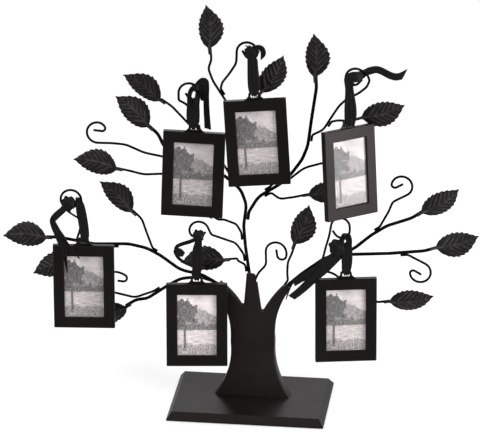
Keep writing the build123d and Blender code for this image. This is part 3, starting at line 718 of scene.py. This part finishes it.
def add_band(bm, origin, route, cut=0.0):
    """A pleated strip along a route from origin. Lie is the angle of its width, from +X towards +Z.

    A cut end slants: its far edge stops short by that many widths, its near edge if the cut is below 0.
    Returns the strip's length.
    """
    rows = band_rows(origin, route)
    uv = bm.loops.layers.uv.verify()
    last = len(rows) - 1
    length, end_width = rows[-1][4], rows[-1][3]
    slant = abs(cut) * end_width
    slant_from = next(number for number, row in enumerate(rows) if row[4] >= length - 2 * slant)
    grid = []
    for number in range(len(rows)):
        line = []
        for column in range(RIBBON_COLUMNS + 1):
            t = column / RIBBON_COLUMNS - 0.5
            at = float(number)
            if slant and number > slant_from:
                short = slant * (0.5 + t if cut > 0 else 0.5 - t)
                at = slant_from + (number - slant_from) * (1 - short / (length - rows[slant_from][4]))
            low = min(int(at), last - 1)
            share = at - low
            centre, side, face = (rows[low][i].lerp(rows[low + 1][i], share) for i in range(3))
            width, along = (rows[low][i] * (1 - share) + rows[low + 1][i] * share for i in (3, 4))
            gather = max(0.0, min(1.0, width / GATHER_FROM_W) * (RIBBON_W - width))
            ripple = sin(2 * pi * PLEATS * t + PLEAT_DRIFT * sin(along * PLEAT_DRIFT_RATE))
            wander = noise.noise(centre * WANDER_RATE + side * (t * WANDER_ACROSS))
            lift = (GATHER_RISE * gather + PLEAT_RISE) * ripple + WANDER_RISE * wander
            vert = bm.verts.new(centre + side * (width * t) + face * lift)
            line.append((vert, (t * RIBBON_W / MM, along / MM)))
        grid.append(line)
    for low, high in zip(grid, grid[1:]):
        for a, b, c, d in zip(low, high, high[1:], low[1:]):
            loops = bm.faces.new((a[0], d[0], c[0], b[0])).loops
            for loop, corner in zip(loops, (a, d, c, b)):
                loop[uv].uv = corner[1]
    return length


def strap_route(eye, rows):
    """The loop from the eye up over the hook's wire and back, in millimetres from the hook's lowest point.

    The rows are (x, z, width) from just above the eye to the top of the loop.
    """
    x, _, z = eye
    *rise, (top_x, top_z, top_w) = rows
    under = (x, 0, z - EYE_DROP_MM, EYE_STRAP_W_MM, 0)
    at_eye = (x, EYE_FRONT_SHARE * STRAP_FRONT_MM, z - EYE_RISE_SHARE * EYE_DROP_MM, EYE_STRAP_W_MM)
    legs = [at_eye] + [(px, STRAP_FRONT_MM, pz, w) for px, pz, w in rise]
    front = [(px, -py, pz, w, 0) for px, py, pz, w in legs]
    back = [(px, py, pz, w, 0) for px, py, pz, w in reversed(legs)]
    over = (top_x, 0, top_z, top_w, 0)
    return [under, *front, over, *back, under]


def add_knot(bm, origin, centre, size):
    """A tied lump of (width, depth, height) about a centre, creased where the ribbon wraps round it.

    Returns the length of the ribbon wound into it.
    """
    middle = origin + Vector(centre) * MM
    uv = bm.loops.layers.uv.verify()
    lump = bmesh.ops.create_icosphere(bm, subdivisions=KNOT_SUBDIVISIONS, radius=1.0)["verts"]
    by_x, by_xy, by_z = KNOT_WRAP_WAY
    for vert in lump:
        way = vert.co.copy()
        crease = KNOT_CREASE * sin(KNOT_WRAPS * (by_x * way.x + by_z * way.z + by_xy * way.y * way.x))
        swell = KNOT_SWELL * noise.noise(way * KNOT_SWELL_RATE + middle * KNOT_SWELL_PLACES)
        reach = 0.5 * (1 + crease + swell) * MM
        vert.co = middle + Vector(way[i] * size[i] * reach for i in range(3))
        for loop in vert.link_loops:
            loop[uv].uv = (way.x * RIBBON_W / MM, way.z * size[2])
    return KNOT_TURNS * pi * (size[0] + size[1]) / 2 * MM


# Each ribbon's strap as (x, z, width) rows, its knot's centre and size, and its free strips as
# (x, y, z, width, lie) rows with the cut of the end. Places are in millimetres from the hook's lowest point,
# widths in millimetres and lies in degrees.
RIBBONS = {
    "left": {
        "strap": [(13.4, -34.5, 7.8), (12.2, -20, 8.8), (9.4, -3, 8.8), (8.2, 4, 7), (6.2, 12, 4.6)],
        "knot": ((-3.3, -1.5, 5.1), (14.7, 9, 15.4)),
        "strips": [
            ([(-5, -4, 5.5, 6, 137), (-9.1, -5.4, -0.6, 7.4, 137), (-14.2, -6.4, -5.4, 7.8, 138),
              (-18.2, -7, -9.6, 7.6, 142), (-20.4, -7.2, -13.6, 6.2, 172), (-18.6, -7.2, -19.5, 7.4, 200),
              (-15.6, -7.2, -26, 8.4, 202), (-10.5, -7.5, -37, 10.4, 202), (-7.6, -8, -53, 4.6, 199),
              (-5, -8.5, -73, 0.8, 197)], 0.0),
            ([(-12, -7.6, -30, 5, 204), (-9, -8, -33.5, 4.4, 212), (-2.2, -8.3, -41.7, 2.2, 222),
              (8.6, -8.3, -56.2, 0.8, 224)], 0.0),
            ([(-5.8, -4.5, 0.1, 3, 44), (-2.6, -5, -3.2, 2, 46), (8, -4.5, -10.6, 1.6, 54)], 0.0),
        ],
    },
    "lower_left": {
        "strap": [(-0.8, -42.6, 9.2), (0.2, -34.3, 9.8), (0.4, -22.6, 9.8), (0.5, -12.4, 9.2),
                  (1.6, -4.2, 6.6), (1.2, 2.4, 5.2)],
        "knot": ((2, -1.5, 3), (12.6, 9, 12.6)),
        "strips": [
            ([(-1, -4.5, -0.6, 5, 110), (-8.9, -5.5, -3.6, 4.8, 110), (-16.5, -6, -6.3, 4.6, 112),
              (-20.6, -6.2, -8.8, 4.2, 130), (-22.8, -6.4, -12.6, 3.4, 172)], 0.0),
            ([(-23.9, -6.4, -12.5, 3, 64), (-20.9, -7, -14.1, 8.4, 64), (-17.1, -7.4, -15.7, 9.2, 64),
              (-13, -7, -17.8, 5, 62)], 0.0),
            ([(-23.1, -6, -15.6, 3, 30), (-20.4, -6.2, -20.5, 3.2, 36), (-16.7, -6.4, -24.4, 3.2, 46),
              (-11.5, -6.2, -27.6, 3.4, 60), (-4.8, -5, -30, 5, 70)], 0.0),
        ],
    },
    "upper_left": {
        "strap": [(0.6, -26.6, 10.4), (-0.5, -21, 13), (-0.5, -7.4, 12.6), (-0.1, -2, 9), (0, 2.4, 6)],
        "knot": ((2.3, 1, 13.4), (9, 7, 9)),
        "strips": [
            ([(-3.9, -4, -9, 5.6, 0), (-3.8, -4.4, -1.9, 5.2, 0), (-3.9, -3.4, 6, 4.8, -4),
              (-2, -1, 11.6, 5, -32), (3, 0.5, 15.6, 6, -50)], 0.0),
            ([(3.7, -4, -9, 6, 0), (4.2, -4, -1.5, 6, -4), (4.9, 0, 6.4, 6, -8),
              (6.2, 2.6, 13.5, 7, -20)], 0.0),
            ([(2.3, 2, 13.6, 5.5, -40), (6, 2.8, 17.8, 7, -42), (9.7, 3, 21.2, 6.4, -68),
              (12.8, 3, 20.2, 6, -126), (13.4, 3, 13.6, 6, -174), (13.2, 2.5, 2.3, 6, -180),
              (14, 1, -14.6, 6.3, -180), (15.4, -1, -33, 7, -180)], 0.3),
            ([(8.2, 2.4, 19.6, 6, -10), (9.2, 2.6, 11, 7.4, 0), (9, 1.5, -1, 2.4, 0)], 0.0),
        ],
    },
    "top": {
        "strap": [(3.7, -36.6, 9.6), (3.6, -33, 11.4), (3.1, -27, 12), (2, -12, 10.6), (1.8, -3, 9.4),
                  (0.4, 2.4, 6)],
        "knot": ((1.2, -1.5, 8), (13.6, 10, 13)),
        "strips": [
            ([(1.9, -4.4, -8, 10.2, 0), (1.8, -4.8, 0.2, 9.9, 0), (1.8, -4.6, 7, 8.6, 0)], 0.0),
            ([(1.7, -4.5, 12.4, 4, -75), (7.1, -5.2, 14.7, 5, -88), (10.9, -5.6, 14.4, 5.6, -108),
              (13.4, -5.8, 11.4, 5.6, -146), (13.5, -5.8, 6.8, 5, -182),
              (11.2, -5.6, 1.4, 0.8, -205)], 0.0),
            ([(-0.9, -5.4, 12, 3, 40), (-3, -5.4, 14.7, 1.8, 40), (-5.2, -5.2, 17.1, 0.6, 40)], 0.0),
            ([(2, -4.6, 9, 10, 90), (-2.5, -5.4, 8.8, 10.4, 90), (-6, -4.8, 8.4, 7.6, 90)], 0.0),
        ],
    },
    "upper_right": {
        "strap": [(-2.9, -44.6, 8.8), (-2.3, -37.2, 12), (-2.6, -25.9, 12), (-3.7, -9.7, 8.8),
                  (-4, -2, 7.4), (-1.4, 2.8, 6)],
        "knot": ((-1.6, -1, 6.5), (8, 7, 8)),
        "strips": [
            ([(-3.9, -4.2, -5, 7.8, 0), (-4.6, -4.6, 2.4, 8, -6), (-4.4, -4.8, 8, 9.6, -38),
              (-0.6, -4.8, 10.6, 11.4, -70), (4.4, -4.2, 11, 11.4, -82), (9, -1, 12.4, 9, -76),
              (13, 3, 13.8, 7.2, -70), (16.9, 4, 15.3, 8, -71), (24, 3.5, 17.2, 7.8, -88),
              (29.8, 3, 15.8, 7.8, -107), (40.4, 2, 11.3, 7.6, -110), (48.6, 2, 11, 7.6, -86),
              (58.8, 2, 16.5, 7.4, -62)], 1.4),
        ],
    },
    "lower_right": {
        "strap": [(5.6, -38.4, 8.6), (5.7, -35.5, 9.8), (6, -28, 11), (5.9, -16.4, 11), (6.8, -9.4, 8),
                  (7.9, -3.6, 5.6), (6, 2, 5.4), (3, 4.8, 6)],
        "knot": ((-4.3, -1.5, -10.8), (18, 11, 18.6)),
        "strips": [
            ([(-3, -5, -15, 8, 133), (-14.6, -6, -25.6, 9.8, 132), (-25.8, -6.5, -36.1, 10, 128),
              (-40.9, -6.5, -45.6, 8.6, 122), (-52, -6, -54, 7.4, 128)], 0.5),
            ([(-2, -5.5, -19, 8, 137), (-17.2, -6.6, -34.5, 9.6, 135), (-28.4, -7, -44.9, 10, 134),
              (-41.4, -7, -59, 9, 136), (-53.9, -6.5, -70.6, 8, 133)], -0.3),
            ([(-51, -6, -50, 2.4, 150), (-55.4, -6, -60.4, 1.6, 158), (-59.1, -6, -72.3, 1.2, 160)], 0.0),
            ([(3, -2.4, 4.4, 5.4, 10), (0.6, -4, -1, 5.4, 25), (-2.6, -4.6, -6, 7, 30)], 0.0),
        ],
    },
}


def add_ribbon(name, shape):
    """The tied ribbon of one frame, which bends at the hook and hangs down to the frame's eye."""
    hook = Vector(JOINTS["swing_" + name]["pos_m"])
    eye = (Vector(JOINTS["turn_" + name]["pos_m"]) - hook) / MM
    bm = bmesh.new()
    length = add_band(bm, hook, strap_route(eye, shape["strap"]))
    for route, cut in shape["strips"]:
        length += add_band(bm, hook, route, cut)
    length += add_knot(bm, hook, *shape["knot"])
    ribbon = add_piece("ribbon_" + name + "_tied", bm, "black_ribbon")
    cloth = ribbon.modifiers.new("cloth", "SOLIDIFY")
    cloth.thickness = RIBBON_T
    cloth.offset = 0.0
    apply_modifiers(ribbon)
    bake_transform(ribbon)
    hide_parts("ribbon_" + name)


for name in HANGERS:
    add_ribbon(name, RIBBONS[name])


# Smooth shading of the solids that show

SHARP_FROM = radians(35)
for node in NODES.values():
    if not node.hide_render:
        for polygon in node.data.polygons:
            polygon.use_smooth = True
        node.data.set_sharp_from_angle(angle=SHARP_FROM)


# Studio

FLOOR_SIZE = 12
FLOOR_GREY = 0.56
FLOOR_GLOW = 0.42
FLOOR_NEAR = 0.45
FLOOR_FAR = 1.1
AMBIENT = 0.35

# Place, target, size and power of each softbox
SOFTBOXES = {
    "key": ((-1.1, -1.3, 1.9), (0, 0, 0.2), (1.4, 1.4), 45.0),
    "right": ((1.7, -0.6, 0.3), (0.1, 0, 0.25), (0.9, 1.0), 56.0),
    "back": ((0.3, 1.5, 1.3), (0, 0, 0.2), (1.6, 0.8), 22.0),
}


def seen_rays(tree):
    """1 for rays that the camera sees straight, in a gloss or through glass."""
    path = tree.nodes.new("ShaderNodeLightPath")
    direct = add_math(tree, "MAXIMUM", path.outputs["Is Camera Ray"], path.outputs["Is Transmission Ray"])
    return add_math(tree, "MAXIMUM", direct, path.outputs["Is Glossy Ray"])


def add_floor():
    """A pale floor that keeps the object's shadow and fades to plain white away from it."""
    bpy.ops.mesh.primitive_plane_add(size=FLOOR_SIZE)
    floor = bpy.context.object
    floor.name = "floor"
    material, tree, shader, place = new_material("floor")
    shader.inputs["Roughness"].default_value = 0.9
    shader.inputs["Specular IOR Level"].default_value = 0.0
    shader.inputs["Emission Color"].default_value = (1, 1, 1, 1)
    reach = tree.nodes.new("ShaderNodeVectorMath")
    reach.operation = "LENGTH"
    tree.links.new(place.outputs["Object"], reach.inputs[0])
    fade = tree.nodes.new("ShaderNodeMapRange")
    fade.inputs["From Min"].default_value = FLOOR_NEAR
    fade.inputs["From Max"].default_value = FLOOR_FAR
    tree.links.new(reach.outputs["Value"], fade.inputs["Value"])
    share = fade.outputs["Result"]
    grey = add_ramp(tree, share, (0.0, (FLOOR_GREY,) * 3), (1.0, (0.0,) * 3))
    tree.links.new(grey, shader.inputs["Base Color"])
    glow = add_math(tree, "ADD", add_math(tree, "MULTIPLY", share, 1.0 - FLOOR_GLOW), FLOOR_GLOW)
    tree.links.new(add_math(tree, "MULTIPLY", seen_rays(tree), glow), shader.inputs["Emission Strength"])
    floor.data.materials.append(material)


def add_world():
    """A world that looks white and lights the object softly."""
    world = bpy.data.worlds.new("studio")
    bpy.context.scene.world = world
    world.use_nodes = True
    tree = world.node_tree
    back = tree.nodes["Background"]
    back.inputs["Color"].default_value = (1, 1, 1, 1)
    level = add_math(tree, "MAXIMUM", seen_rays(tree), AMBIENT)
    tree.links.new(level, back.inputs["Strength"])


def add_softbox(name, place, target, size, power):
    """A soft rectangular light at a place, turned to a target."""
    lamp = bpy.data.lights.new(name, "AREA")
    lamp.shape = "RECTANGLE"
    lamp.size, lamp.size_y = size
    lamp.energy = power
    box = bpy.data.objects.new(name, lamp)
    box.location = place
    box.rotation_euler = (Vector(target) - Vector(place)).to_track_quat("-Z", "Y").to_euler()
    bpy.context.scene.collection.objects.link(box)


def add_camera():
    """A camera at the photograph's angle. Each photo pixel covers PIXEL_SIZE at its target."""
    azimuth, elevation = radians(VIEW_AZIMUTH), radians(VIEW_ELEVATION)
    towards = Vector((sin(azimuth) * cos(elevation), -cos(azimuth) * cos(elevation), sin(elevation)))
    data = bpy.data.cameras.new("camera")
    data.sensor_width = SENSOR_W / MM
    data.lens = SENSOR_W * VIEW_DISTANCE / (PIXEL_SIZE * PHOTO_W) / MM
    camera = bpy.data.objects.new("camera", data)
    camera.location = VIEW_TARGET + towards * VIEW_DISTANCE
    camera.rotation_euler = (-towards).to_track_quat("-Z", "Y").to_euler()
    bpy.context.scene.collection.objects.link(camera)
    bpy.context.scene.camera = camera


add_floor()
add_world()
for name, lamp in SOFTBOXES.items():
    add_softbox(name, *lamp)
add_camera()
bpy.context.scene.view_settings.view_transform = "Standard"
